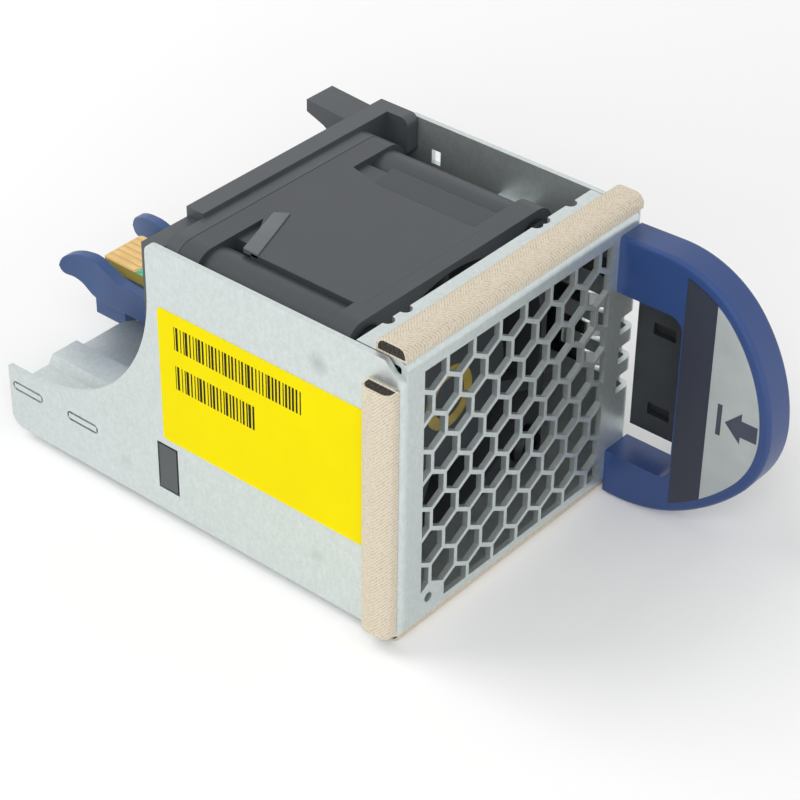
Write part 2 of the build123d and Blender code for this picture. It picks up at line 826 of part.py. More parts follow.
# ---- fan screws ----
with BuildPart() as fan_screws:
    with BuildSketch(fan_plane(fan_y)) as screw_heads:
        with GridLocations(fan_hole_pitch, fan_hole_pitch, 2, 2):
            Circle(screw_head_r)
    extrude(amount=-screw_head_h)
    chamfer(fan_screws.edges().group_by(Axis.Y)[0], screw_head_h / 2)
    with BuildSketch(fan_plane(fan_y)) as screw_shanks:
        with GridLocations(fan_hole_pitch, fan_hole_pitch, 2, 2):
            Circle(screw_r)
    extrude(amount=fan_depth + frame_gap + screw_bite)
    with BuildSketch(fan_plane(fan_y - screw_head_h)) as screw_drives:
        with GridLocations(fan_hole_pitch, fan_hole_pitch, 2, 2):
            RegularPolygon(screw_drive_r, 6)
    extrude(amount=screw_drive_depth, mode=Mode.SUBTRACT)
write(fan_screws, "fan_screws")

# ---- rear frame ----
with BuildPart() as rear_frame:
    frame_low = sheet_t + frame_gap
    frame_left = inner_left + frame_gap
    frame_right = inner_right - frame_right_gap
    # step that carries on the outline of the fan's flange
    with BuildSketch(fan_plane(frame_y)) as frame_step:
        RectangleRounded(fan_size, fan_size, fan_corner_r)
    extrude(amount=frame_step_t)
    # plate across the tray, lower at the left than the lip
    with BuildSketch(front_plane(frame_y + frame_step_t)) as frame_face:
        with Locations((frame_left, frame_low)):
            Rectangle(
                frame_right - frame_left, frame_top - frame_low, align=(Align.MIN, Align.MIN)
            )
        fillet(frame_face.vertices().group_by(Axis.Y)[-1].sort_by(Axis.X)[-1], frame_corner_r)
        with Locations((frame_left, frame_top)):
            Rectangle(
                left_x + frame_relief_x - frame_left, frame_relief_h, align=(Align.MIN, Align.MAX),
                mode=Mode.SUBTRACT,
            )
    extrude(amount=-(frame_t - frame_step_t))
    # arm that reaches forward along the right wall
    with BuildSketch(side_plane(left_x + frame_arm_x)) as frame_arm:
        with Locations((frame_arm_y, frame_top)):
            Rectangle(frame_rear - frame_arm_y, frame_arm_h, align=(Align.MIN, Align.MAX))
        fillet(frame_arm.vertices().group_by(Axis.X)[0], frame_corner_r)
    extrude(amount=frame_right - left_x - frame_arm_x)
    # air outlet, and the threaded seats of the fan screws
    with BuildSketch(fan_plane(frame_y)) as outlet:
        Circle(fan_bore_r)
    extrude(amount=frame_t, mode=Mode.SUBTRACT)
    with BuildSketch(fan_plane(frame_y)) as frame_seats:
        with GridLocations(fan_hole_pitch, fan_hole_pitch, 2, 2):
            Circle(screw_r)
    extrude(amount=screw_bite, mode=Mode.SUBTRACT)
    # guide peg at the top right, a wedge with a blunt end
    with BuildSketch(side_plane(left_x + peg_x)) as peg:
        with BuildLine():
            Polyline(
                (frame_rear, frame_top - frame_corner_r),
                (frame_rear, frame_top - peg_root_h),
                (frame_rear + peg_root_h - peg_tip_h, frame_top - peg_root_h / 2),
                (frame_rear + peg_l, frame_top - frame_corner_r / 2 - peg_tip_h),
                (frame_rear + peg_l, frame_top - frame_corner_r / 2),
                close=True,
            )
        make_face()
    extrude(amount=peg_w)
    # snap lug standing in the window of the left wall
    with BuildSketch(side_plane(left_x)) as snap_lug:
        with Locations((lug_window_y + lug_play, lug_window_z + lug_play)):
            Rectangle(
                lug_window_l - 2 * lug_play, lug_window_h - 2 * lug_play, align=(Align.MIN, Align.MIN)
            )
    extrude(amount=sheet_t + frame_gap)
    with BuildSketch(side_plane(inner_left)) as lug_root:
        with Locations((lug_window_y + lug_play, lug_window_z + lug_play)):
            Rectangle(
                frame_rear - lug_window_y - lug_play, lug_window_h - 2 * lug_play,
                align=(Align.MIN, Align.MIN),
            )
    extrude(amount=frame_gap)
write(rear_frame, "rear_frame")

# ---- blind-mate plug ----
plug_mid = left_x + plug_x
with BuildPart() as horn_plan:
    # the two guide walls from above, bent outwards at their tips
    horn_line = guide_half - guide_wall / 2
    with BuildSketch(Plane.XY.offset(keel_z)) as horn_lines:
        for side in (-1, 1):
            with BuildLine():
                horn_run = Line(
                    (plug_mid + side * horn_line, frame_rear),
                    (plug_mid + side * horn_line, horn_mid_y),
                )
                TangentArc(
                    horn_run @ 1,
                    (plug_mid + side * (horn_line + horn_flare), horn_tip_y),
                    tangent=horn_run % 1,
                )
            trace(line_width=guide_wall)
    extrude(amount=guide_top - keel_z)

with BuildPart() as guide:
    # side view of the guide walls: a tall root that curves up to a blunt tip
    with BuildSketch(side_plane(plug_mid - tray_w / 2)) as horn_side:
        with BuildLine():
            Polyline(
                (frame_rear, guide_low),
                (frame_rear, guide_top),
                (horn_tip_y, guide_top),
                (horn_tip_y, guide_top - horn_tip_h),
                (horn_mid_y, guide_top - horn_mid_h),
                (guide_y, guide_low),
                close=True,
            )
        make_face()
        fillet(horn_side.vertices().group_by(Axis.X)[-1], horn_r)
        fillet(horn_side.vertices().group_by(Axis.Y)[0].sort_by(Axis.X)[-1], horn_r)
    extrude(amount=tray_w)
    add(horn_plan.part, mode=Mode.INTERSECT)
    # floor of the channel that carries the board
    with BuildSketch(front_plane(frame_rear)) as channel:
        with Locations((plug_mid, board_z - guide_wall)):
            Rectangle(2 * horn_line, guide_wall, align=(Align.CENTER, Align.MIN))
    extrude(amount=-(guide_y - frame_rear))
    # beam under the channel, with a keel behind the tail floor
    with BuildSketch(side_plane(plug_mid - beam_w / 2)) as beam:
        with BuildLine():
            Polyline(
                (frame_rear, beam_low),
                (keel_y, beam_low),
                (keel_y, keel_z),
                (beam_y, keel_z),
                (beam_y, beam_high),
                (board_y, beam_high),
                (board_y, board_z),
                (frame_rear, board_z),
                close=True,
            )
        make_face()
    extrude(amount=beam_w)
write(guide, "connector_guide")

with BuildPart() as board:
    with BuildSketch(Plane.XY.offset(board_z)) as board_face:
        with Locations((plug_mid, frame_rear)):
            Rectangle(board_w, board_y - frame_rear, align=(Align.CENTER, Align.MIN))
        chamfer(board_face.vertices().group_by(Axis.Y)[-1], contact_w / 2)
    extrude(amount=board_t)
write(board, "connector_board")

board_top = board_z + board_t
with BuildPart() as components:
    with BuildSketch(Plane.XY.offset(board_top)) as chips:
        with Locations((plug_mid, chip_y)):
            with GridLocations(chip_pitch, chip_pitch, chip_columns, chip_rows):
                Rectangle(chip_l, chip_w)
    extrude(amount=chip_h)
write(components, "board_components")

with BuildPart() as contact_strips:
    contact_pitch = (board_w - 2 * contact_inset - contact_w) / (contacts - 1)
    with BuildSketch(Plane.XY.offset(board_top)) as contact_face:
        with Locations((plug_mid, board_y - contact_inset - contact_l / 2)):
            with GridLocations(contact_pitch, contact_l, contacts, 1):
                Rectangle(contact_w, contact_l)
    extrude(amount=contact_t)
write(contact_strips, "edge_contacts")

# ---- handle ----
handle_left = left_x + handle_x
handle_knots = [
    Vector(-reach * handle_reach, height * handle_h - handle_low)
    for reach, height in handle_knot_shares
]
# Each arc of the handle's loop starts in the direction in which the one before it ends.
loop_ways = [handle_knots[1] - handle_knots[0]]
for start, end in zip(handle_knots[1:], handle_knots[2:]):
    chord = end - start
    way = loop_ways[-1]
    loop_ways.append(chord * (2 * way.dot(chord) / chord.dot(chord)) - way)


def handle_outline(inset):
    """Outline of the handle's loop from the side, drawn in by a given width."""
    ways = [loop_ways[0], *loop_ways]
    knots = [
        knot + way.normalized().rotate(Axis.Z, 90) * inset for knot, way in zip(handle_knots, ways)
    ]
    knots[0] = Vector(0, knots[0].Y)
    knots[-1] = Vector(0, knots[-1].Y)
    with BuildSketch() as outline:
        with BuildLine():
            Line(knots[-1], knots[0])
            Line(knots[0], knots[1])
            for start, end, way in zip(knots[1:], knots[2:], ways[1:]):
                TangentArc(start, end, tangent=way)
        make_face()
    return outline.sketch


loop_face = handle_outline(0)
loop_inner_face = handle_outline(handle_rim)
pad_face = handle_outline(handle_rim + pad_gap)

with BuildPart() as handle:
    with BuildSketch(side_plane(handle_left)) as handle_body:
        add(loop_face)
    extrude(amount=handle_t)
    loop_edges = handle.edges().filter_by(GeomType.CIRCLE)
    fillet(loop_edges.group_by(Axis.X)[0] + loop_edges.group_by(Axis.X)[-1], handle_edge_r)
    # recess for the latch in the far side
    with BuildSketch(side_plane(handle_left + handle_web_t)) as recess:
        add(loop_inner_face)
        with Locations((0, recess_low)):
            Rectangle(
                2 * handle_reach, recess_high - recess_low, align=(Align.CENTER, Align.MIN),
                mode=Mode.INTERSECT,
            )
        with Locations((0, recess_low)):
            Rectangle(
                2 * handle_rim, recess_high - recess_low, align=(Align.MAX, Align.MIN)
            )
    extrude(amount=handle_t, mode=Mode.SUBTRACT)
    # finger opening
    with BuildSketch(side_plane(handle_left)) as opening:
        with Locations((0, opening_low)):
            Rectangle(2 * opening_reach, opening_high - opening_low, align=(Align.CENTER, Align.MIN))
        fillet(opening.vertices(), opening_r)
    extrude(amount=handle_t, mode=Mode.SUBTRACT)
    with BuildSketch(front_plane(0)) as handle_holes:
        with Locations(*handle_screws_at):
            Circle(handle_screw_r)
    extrude(amount=handle_screw_l, mode=Mode.SUBTRACT)
write(handle, "handle")

with BuildPart() as handle_label:
    with BuildSketch(side_plane(handle_left)) as handle_label_face:
        add(loop_inner_face)
        with Locations((-opening_reach - label_gap, 0)):
            Rectangle(
                handle_reach, 2 * handle_h, align=(Align.MAX, Align.CENTER), mode=Mode.INTERSECT
            )
    extrude(amount=-label_t)
write(handle_label, "handle_label")

with BuildPart() as handle_screws:
    with BuildSketch(front_plane(sheet_t)) as handle_screw_heads:
        with Locations(*handle_screws_at):
            Circle(handle_screw_head_r)
    extrude(amount=-handle_screw_head_h)
    with BuildSketch(front_plane(sheet_t)) as handle_screw_shanks:
        with Locations(*handle_screws_at):
            Circle(handle_screw_r)
    extrude(amount=sheet_t + handle_screw_l)
write(handle_screws, "handle_screws")

# ---- release latch ----
with BuildPart() as latch:
    arm_out = inner_right - arm_gap
    # pivot barrel on its pin
    with BuildSketch(Plane.XY.offset(barrel_low)) as barrel:
        with Locations((pin_x, pivot_y)):
            Circle(barrel_r)
    extrude(amount=barrel_high - barrel_low)
    # arm along the inside of the right wall, with the catch that stands out of the slot
    with BuildSketch(Plane.XY.offset(arm_low)) as arm:
        with BuildLine():
            Polyline(
                (arm_out, pivot_y),
                (arm_out, barb_y + barb_l),
                (right_x + barb_h, barb_y),
                (arm_out, barb_y),
                (left_x + pad_x + pad_t, -pad_near),
                (left_x + pad_x + pad_t, -pad_neck),
                (left_x + pad_x, -pad_neck),
                (left_x + pad_x, -pad_near),
                (arm_out - arm_t, barb_y),
                (arm_out - arm_t, pivot_y),
                close=True,
            )
        make_face()
    extrude(amount=arm_high - arm_low)
    # finger pad inside the rim of the handle
    with BuildSketch(side_plane(left_x + pad_x)) as pad:
        add(pad_face)
        with Locations((-pad_near, pad_low)):
            Rectangle(
                pad_far - pad_near, pad_high - pad_low, align=(Align.MAX, Align.MIN),
                mode=Mode.INTERSECT,
            )
        with Locations(*[(-pad_slot_y, z) for z in pad_slot_z]):
            Rectangle(pad_slot_l, pad_slot_h, mode=Mode.SUBTRACT)
    extrude(amount=pad_t)
    with BuildSketch(Plane.XY.offset(barrel_low)) as barrel_bore:
        with Locations((pin_x, pivot_y)):
            Circle(pin_r + pin_play)
    extrude(amount=barrel_high - barrel_low, mode=Mode.SUBTRACT)
write(latch, "latch")

with BuildPart() as latch_pin:
    with BuildSketch(Plane.XY.offset(lug_heights[0] - pin_end)) as pin_section:
        with Locations((pin_x, pivot_y)):
            Circle(pin_r)
    extrude(amount=lug_heights[1] - lug_heights[0] + sheet_t + 2 * pin_end)
write(latch_pin, "latch_pin")

# torsion spring under the barrel
with BuildPart() as latch_spring:
    coil_r = pin_r + pin_play + spring_wire_r + spring_play
    coil_low = barrel_low - spring_room + spring_wire_r
    coil_h = spring_room - 2 * spring_wire_r
    with BuildLine() as coil:
        Helix(coil_h / spring_turns, coil_h, coil_r, center=(pin_x, pivot_y, coil_low))
    with BuildSketch(coil.line ^ 0) as wire:
        RegularPolygon(spring_wire_r, 4)
    sweep(is_frenet=True)
write(latch_spring, "latch_spring")
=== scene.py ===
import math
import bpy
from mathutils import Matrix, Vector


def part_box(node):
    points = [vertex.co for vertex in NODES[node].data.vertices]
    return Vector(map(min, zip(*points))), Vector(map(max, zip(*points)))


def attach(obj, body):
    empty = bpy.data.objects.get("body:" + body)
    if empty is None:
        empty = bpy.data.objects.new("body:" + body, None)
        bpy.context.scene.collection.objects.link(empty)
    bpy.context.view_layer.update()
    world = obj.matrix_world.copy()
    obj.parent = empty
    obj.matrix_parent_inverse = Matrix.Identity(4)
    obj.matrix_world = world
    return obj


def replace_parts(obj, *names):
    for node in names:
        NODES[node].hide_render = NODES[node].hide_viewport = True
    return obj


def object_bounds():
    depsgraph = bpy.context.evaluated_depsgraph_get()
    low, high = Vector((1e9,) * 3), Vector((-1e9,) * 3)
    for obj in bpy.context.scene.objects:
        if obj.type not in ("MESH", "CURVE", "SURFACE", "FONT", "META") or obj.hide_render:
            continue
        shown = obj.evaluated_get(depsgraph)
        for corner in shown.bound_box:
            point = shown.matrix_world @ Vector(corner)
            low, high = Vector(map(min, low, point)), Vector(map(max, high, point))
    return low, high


bl_info = {
    "name": "Fan tray looks",
    "version": (1, 0, 0),
    "blender": (4, 5, 0),
    "location": "3D View > Sidebar > Fan tray",
    "description": "Dresses a switch's hot-swap fan tray: sheet metal, gaskets, labels and plastics",
    "category": "Object",
}

import bmesh
import bpy
from mathutils import Matrix, Vector

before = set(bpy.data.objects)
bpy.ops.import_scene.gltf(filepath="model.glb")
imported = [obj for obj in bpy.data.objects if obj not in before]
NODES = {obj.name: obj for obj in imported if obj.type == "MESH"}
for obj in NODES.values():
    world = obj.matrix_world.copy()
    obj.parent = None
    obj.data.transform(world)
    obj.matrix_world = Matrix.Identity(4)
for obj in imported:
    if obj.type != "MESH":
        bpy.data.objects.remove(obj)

MM = 0.001
CAD_BOX = [list(corner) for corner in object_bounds()]
# Places on the tray are in millimetres: x from its left side, y from its front panel and z from
# under its floor.
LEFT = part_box("tray")[0].x / MM


# Colours, nodes and materials


def linear(hex_colour):
    """Turns an sRGB hex colour into the linear values that shaders take."""
    channels = [int(hex_colour[i : i + 2], 16) / 255 for i in (1, 3, 5)]
    return tuple(c / 12.92 if c <= 0.04045 else ((c + 0.055) / 1.055) ** 2.4 for c in channels)


def colour(hex_colour):
    """The same colour with full alpha, for sockets and ramps."""
    return (*linear(hex_colour), 1.0)


def per(period_mm):
    """Scale of a pattern whose marks lie period_mm apart."""
    return 1.0 / (period_mm * MM)


def add_node(tree, kind, links=(), inputs=(), stops=(), **settings):
    """Adds a node, sets its properties, inputs and ramp stops, and links sockets to it."""
    node = tree.nodes.new(kind)
    for name, value in settings.items():
        setattr(node, name, value)
    for key, value in dict(inputs).items():
        node.inputs[key].default_value = value
    for key, socket in dict(links).items():
        tree.links.new(socket, node.inputs[key])
    for index, (position, value) in enumerate(stops):
        band = node.color_ramp.elements
        element = band[index] if index < len(band) else band.new(position)
        element.position = position
        element.color = colour(value)
    return node


def new_material(name, base, metallic=0.0, roughness=0.5, ior=None):
    """Starts a material with its plain colour and finish on the shader's own sockets."""
    material = bpy.data.materials.new(name)
    material.use_nodes = True
    shader = material.node_tree.nodes["Principled BSDF"]
    shader.inputs["Base Color"].default_value = colour(base)
    shader.inputs["Metallic"].default_value = metallic
    shader.inputs["Roughness"].default_value = roughness
    if ior is not None:
        shader.inputs["IOR"].default_value = ior
    material.diffuse_color = colour(base)
    return material, material.node_tree, shader


def placed(tree, scale=(1.0, 1.0, 1.0)):
    """Object coordinates in metres, stretched by a scale."""
    coords = add_node(tree, "ShaderNodeTexCoord")
    stretched = add_node(
        tree, "ShaderNodeMapping", {"Vector": coords.outputs["Object"]}, {"Scale": scale}
    )
    return stretched.outputs["Vector"]


def surface(tree, shader, where, tones, rough, cloud_mm, grain_mm, depth_mm):
    """Tones and roughness that drift in soft clouds, under a fine bump of grains."""
    clouds = add_node(
        tree, "ShaderNodeTexNoise", {"Vector": where}, {"Scale": per(cloud_mm), "Detail": 3.0}
    ).outputs["Fac"]
    tint = add_node(
        tree,
        "ShaderNodeValToRGB",
        {"Fac": clouds},
        stops=[(0.3, tones[0]), (0.7, tones[1])],
    )
    tree.links.new(tint.outputs["Color"], shader.inputs["Base Color"])
    drift = add_node(
        tree, "ShaderNodeMapRange", {"Value": clouds}, {"To Min": rough[0], "To Max": rough[1]}
    )
    tree.links.new(drift.outputs["Result"], shader.inputs["Roughness"])
    grains = add_node(
        tree, "ShaderNodeTexNoise", {"Vector": where}, {"Scale": per(grain_mm), "Detail": 2.0}
    )
    relief = add_node(
        tree,
        "ShaderNodeBump",
        {"Height": grains.outputs["Fac"]},
        {"Strength": 1.0, "Distance": depth_mm * MM},
    )
    tree.links.new(relief.outputs["Normal"], shader.inputs["Normal"])
    return tint.outputs["Color"]


def window(tree, axes, low, high):
    """1 inside a box along two axes of the object's coordinates, 0 outside it."""
    coords = add_node(tree, "ShaderNodeTexCoord").outputs["Object"]
    parts = add_node(tree, "ShaderNodeSeparateXYZ", {"Vector": coords})
    inside = [
        add_node(
            tree,
            "ShaderNodeMath",
            {0: parts.outputs[axis]},
            {1: (near + far) / 2 * MM, 2: (far - near) / 2 * MM},
            operation="COMPARE",
        ).outputs["Value"]
        for axis, near, far in zip(axes, low, high)
    ]
    both = add_node(tree, "ShaderNodeMath", dict(enumerate(inside)), operation="MULTIPLY")
    return both.outputs["Value"]


def overprint(tree, shader, under, mask, ink):
    """Lays an ink colour over the base colour where a mask is 1."""
    mixed = add_node(
        tree,
        "ShaderNodeMix",
        {0: mask, 6: under},
        {7: colour(ink)},
        data_type="RGBA",
    ).outputs[2]
    tree.links.new(mixed, shader.inputs["Base Color"])
    return mixed


# Sizes and colours a user may change


class StageSettings(bpy.types.PropertyGroup):
    """Camera and studio."""

    lens: bpy.props.FloatProperty(
        name="Lens", description="Focal length of the camera", default=109.81, unit="CAMERA"
    )
    key_power: bpy.props.FloatProperty(
        name="Key light", description="Watts of the large soft key light", default=2.0
    )
    back_power: bpy.props.FloatProperty(
        name="Back light", description="Watts of the soft light behind the tray", default=1.9
    )
    fill_power: bpy.props.FloatProperty(
        name="Fill light", description="Watts of the soft light before the panel", default=0.35
    )
    world_level: bpy.props.FloatProperty(
        name="World", description="Strength of the even light from all sides", default=0.42
    )
    floor_lift: bpy.props.FloatProperty(
        name="Floor lift", description="Glow that brings the lit floor up to white", default=0.07
    )


class ColourSettings(bpy.types.PropertyGroup):
    """Main colours of the finishes, as sRGB hex values."""

    zinc: bpy.props.StringProperty(
        name="Zinc", description="Galvanised sheet of the tray", default="#D6DEDD"
    )
    cloth: bpy.props.StringProperty(
        name="Gasket cloth", description="Conductive cloth of the gaskets", default="#DACFBA"
    )
    yellow: bpy.props.StringProperty(
        name="Label yellow", description="Film of the asset label", default="#F5E300"
    )
    blue: bpy.props.StringProperty(
        name="Touch blue", description="Plastic of the handle", default="#26437B"
    )
    black: bpy.props.StringProperty(
        name="Black plastic", description="Plastic of the fan's frame and top", default="#3C4044"
    )


class PrintSettings(bpy.types.PropertyGroup):
    """Sizes of the printed marks and of the cloth's weave, in millimetres."""

    weave_pitch: bpy.props.FloatProperty(
        name="Weave pitch", description="Step of the cloth's herringbone ribs in mm", default=0.5
    )
    bar_pitch: bpy.props.FloatProperty(
        name="Bar pitch", description="Step of the asset label's printed bars in mm", default=0.56
    )
    band_width: bpy.props.FloatProperty(
        name="Band width",
        description="Width of the dark band of the handle's label in mm",
        default=4.7,
    )
    ink_height: bpy.props.FloatProperty(
        name="Ink height", description="Height of the printed arrow and bar in mm", default=0.02
    )


def stage_settings():
    """The camera's and lamps' values in use."""
    return bpy.context.scene.fan_tray_stage


def colours():
    """The colours in use."""
    return bpy.context.scene.fan_tray_colours


def prints():
    """The sizes of the printed marks and of the weave in use."""
    return bpy.context.scene.fan_tray_prints


# Materials of the metal pieces

# Centre (y, z) and radius of each press dimple's painted shade in millimetres, and the shade at its
# middle.
PRESS_DIMPLE_SHADES = ((12.9, 35.8, 1.9, 0.72), (13.5, 6.3, 1.7, 0.88), (47.5, 4.2, 1.6, 0.9))


def galvanised_sheet():
    """Hot-dip galvanised steel, rolled and folded: a satin pale zinc with faint small crystals."""
    material, tree, shader = new_material("galvanised_sheet", colours().zinc, 0.8, 0.45)
    where = placed(tree)
    # The clouds and the grain are twice as long upwards as across.
    tint = surface(
        tree,
        shader,
        placed(tree, (1.0, 1.0, 0.5)),
        tones=("#CFD7D6", colours().zinc),
        rough=(0.38, 0.48),
        cloud_mm=0.6,
        grain_mm=0.3,
        depth_mm=0.005,
    )
    # Zinc crystals half a millimetre across, barely darker than each other.
    crystals = add_node(
        tree, "ShaderNodeTexVoronoi", {"Vector": where}, {"Scale": per(0.45), "Randomness": 1.0}
    )
    grey = add_node(tree, "ShaderNodeSeparateColor", {"Color": crystals.outputs["Color"]})
    shade = add_node(
        tree, "ShaderNodeMapRange", {"Value": grey.outputs[0]}, {"To Min": 0.95, "To Max": 1.02}
    ).outputs["Result"]
    # Painted shade of round press dimples on the left side, soft at the rim and darker towards the
    # middle.
    for y_mm, z_mm, radius_mm, darkest in PRESS_DIMPLE_SHADES:
        away = add_node(
            tree,
            "ShaderNodeVectorMath",
            {0: where},
            {1: (LEFT * MM, y_mm * MM, z_mm * MM)},
            operation="DISTANCE",
        )
        dimple_shade = add_node(
            tree,
            "ShaderNodeMapRange",
            {"Value": away.outputs["Value"]},
            {"From Max": radius_mm * MM, "To Min": darkest, "To Max": 1.0},
        )
        both = add_node(
            tree, "ShaderNodeMath", {0: shade, 1: dimple_shade.outputs["Result"]}, operation="MULTIPLY"
        )
        shade = both.outputs["Value"]
    toned = add_node(tree, "ShaderNodeVectorMath", {0: tint, 1: shade}, operation="MULTIPLY")
    tree.links.new(toned.outputs["Vector"], shader.inputs["Base Color"])
    return material


def plain_metal(name, tones, rough, cloud_mm=2.0):
    """A small turned or stamped metal piece, with an even fine grain in place of tool marks."""
    material, tree, shader = new_material(name, tones[0], 1.0, rough[0])
    surface(tree, shader, placed(tree), tones, rough, cloud_mm, grain_mm=0.15, depth_mm=0.002)
    return material


# Materials of the plastics


def moulded(name, tones, rough, cloud_mm=6.0, grain_mm=0.18, depth_mm=0.004):
    """An injection-moulded piece: nearly even colour and a fine spark-eroded grain."""
    material, tree, shader = new_material(name, tones[0], 0.0, rough[0], 1.54)
    surface(tree, shader, placed(tree), tones, rough, cloud_mm, grain_mm, depth_mm)
    return material


# Materials of the gaskets

# How far a rib of the herringbone runs along the gasket for each millimetre across it, the height
# of the ribs' wave beside the noise of the threads, the relief's depth, and the noise's step.
RIB_SLANT = 1.1
RIB_SHARE = 0.22
RELIEF_MM = 0.03
THREAD_MM = 0.3


def conductive_cloth(name, along, middle):
    """Metallised cloth: pale beige ribs that meet in a herringbone along the middle."""
    # Mostly matt, with a slight metallic sheen.
    material, tree, shader = new_material(name, colours().cloth, 0.1, 0.7)
    coords = add_node(tree, "ShaderNodeTexCoord").outputs["Object"]
    parts = add_node(tree, "ShaderNodeSeparateXYZ", {"Vector": coords})
    offset = add_node(
        tree, "ShaderNodeMath", {0: parts.outputs["Y"]}, {1: middle * MM}, operation="SUBTRACT"
    )
    across = add_node(tree, "ShaderNodeMath", {0: offset.outputs["Value"]}, operation="ABSOLUTE")
    slant = add_node(
        tree,
        "ShaderNodeMath",
        {0: across.outputs["Value"], 2: parts.outputs[along]},
        {1: -RIB_SLANT},
        operation="MULTIPLY_ADD",
    )
    phase = add_node(
        tree,
        "ShaderNodeMath",
        {0: slant.outputs["Value"]},
        {1: 2 * math.pi * per(prints().weave_pitch)},
        operation="MULTIPLY",
    )
    ribs = add_node(tree, "ShaderNodeMath", {0: phase.outputs["Value"]}, operation="SINE")
    threads = add_node(
        tree,
        "ShaderNodeTexNoise",
        {"Vector": coords},
        {"Scale": per(THREAD_MM), "Detail": 2.0},
    )
    height = add_node(
        tree,
        "ShaderNodeMath",
        {0: ribs.outputs["Value"], 2: threads.outputs["Fac"]},
        {1: RIB_SHARE},
        operation="MULTIPLY_ADD",
    )
    tint = add_node(
        tree,
        "ShaderNodeValToRGB",
        {"Fac": height.outputs["Value"]},
        stops=[(0.15, "#BDAF98"), (0.45, colours().cloth), (0.8, "#E0D6C4")],
    )
    tree.links.new(tint.outputs["Color"], shader.inputs["Base Color"])
    relief = add_node(
        tree,
        "ShaderNodeBump",
        {"Height": height.outputs["Value"]},
        {"Strength": 1.0, "Distance": RELIEF_MM * MM},
    )
    tree.links.new(relief.outputs["Normal"], shader.inputs["Normal"])
    return material


def open_foam():
    """Open-cell urethane foam at the gaskets' cut ends: dark and matt, with pores as a bump."""
    material, tree, shader = new_material("open_foam", "#3A3634", 0.0, 0.95)
    surface(tree, shader, placed(tree), ("#1E1B1A", "#4A4542"), (0.9, 1.0), 0.3, 0.25, 0.15)
    return material


# Materials of the labels

# Fields of bars on the asset label, as (y, z) corners in millimetres.
LABEL_BARS = (((15.6, 27.0), (37.1, 30.5)), ((23.3, 21.0), (37.1, 24.6)))
# Least and most of its cell that a bar fills.
BAR_SHARES = (0.28, 0.85)


def asset_label():
    """Yellow polyester film, with two fields of dark printed bars that hold no code."""
    material, tree, shader = new_material("asset_label", colours().yellow, 0.0, 0.55, 1.5)
    # A low specular keeps the yellow full in the white room.
    shader.inputs["Specular IOR Level"].default_value = 0.05
    tint = surface(
        tree,
        shader,
        placed(tree),
        tones=("#F1DF00", colours().yellow),
        rough=(0.5, 0.6),
        cloud_mm=9.0,
        grain_mm=0.4,
        depth_mm=0.002,
    )
    coords = add_node(tree, "ShaderNodeTexCoord").outputs["Object"]
    parts = add_node(tree, "ShaderNodeSeparateXYZ", {"Vector": coords})
    # One bar stands at the start of each cell, and takes a random share of it.
    place = add_node(
        tree,
        "ShaderNodeMath",
        {0: parts.outputs["Y"]},
        {1: per(prints().bar_pitch)},
        operation="MULTIPLY",
    ).outputs["Value"]
    cell = add_node(tree, "ShaderNodeMath", {0: place}, operation="FLOOR")
    within = add_node(tree, "ShaderNodeMath", {0: place}, operation="FRACT")
    drawn = add_node(
        tree, "ShaderNodeTexWhiteNoise", {"W": cell.outputs["Value"]}, noise_dimensions="1D"
    )
    share = add_node(
        tree,
        "ShaderNodeMapRange",
        {"Value": drawn.outputs["Value"]},
        {"To Min": BAR_SHARES[0], "To Max": BAR_SHARES[1]},
    )
    dark = add_node(
        tree,
        "ShaderNodeMath",
        {0: within.outputs["Value"], 1: share.outputs["Result"]},
        operation="LESS_THAN",
    )
    for low, high in LABEL_BARS:
        field = add_node(
            tree,
            "ShaderNodeMath",
            {0: window(tree, ("Y", "Z"), low, high), 1: dark.outputs["Value"]},
            operation="MULTIPLY",
        )
        tint = overprint(tree, shader, tint, field.outputs["Value"], "#2A2818")
    return material


def handle_film():
    """Silver-grey polyester film with a dark printed band beside the finger opening."""
    material, tree, shader = new_material("handle_film", "#B4B9B9", 0.25, 0.45, 1.5)
    tint = surface(
        tree, shader, placed(tree), ("#AEB4B4", "#BABFBF"), (0.42, 0.5), 5.0, 0.25, 0.003
    )
    # The band runs the film's whole height along its edge at the opening, and a little past it.
    low_corner, high_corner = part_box("handle_label")
    low = (high_corner.y / MM - prints().band_width, low_corner.z / MM - 1.0)
    high = (high_corner.y / MM + 1.0, high_corner.z / MM + 1.0)
    overprint(tree, shader, tint, window(tree, ("Y", "Z"), low, high), "#343846")
    return material


def motor_label_film():
    """Amber polyimide ring on the motor's base."""
    material, tree, shader = new_material("amber_film", "#A8923A", 0.0, 0.3, 1.6)
    surface(tree, shader, placed(tree), ("#96802A", "#B9A24A"), (0.25, 0.4), 2.0, 0.3, 0.004)
    return material


# Materials of the plug's board

# Past every side of the board.
WIDE_MM = 200.0
# Step of the mesh of lines that stands for tracks, and half a line's width as a share of it.
TRACK_MM = 0.8
TRACK_SHARE = 0.08


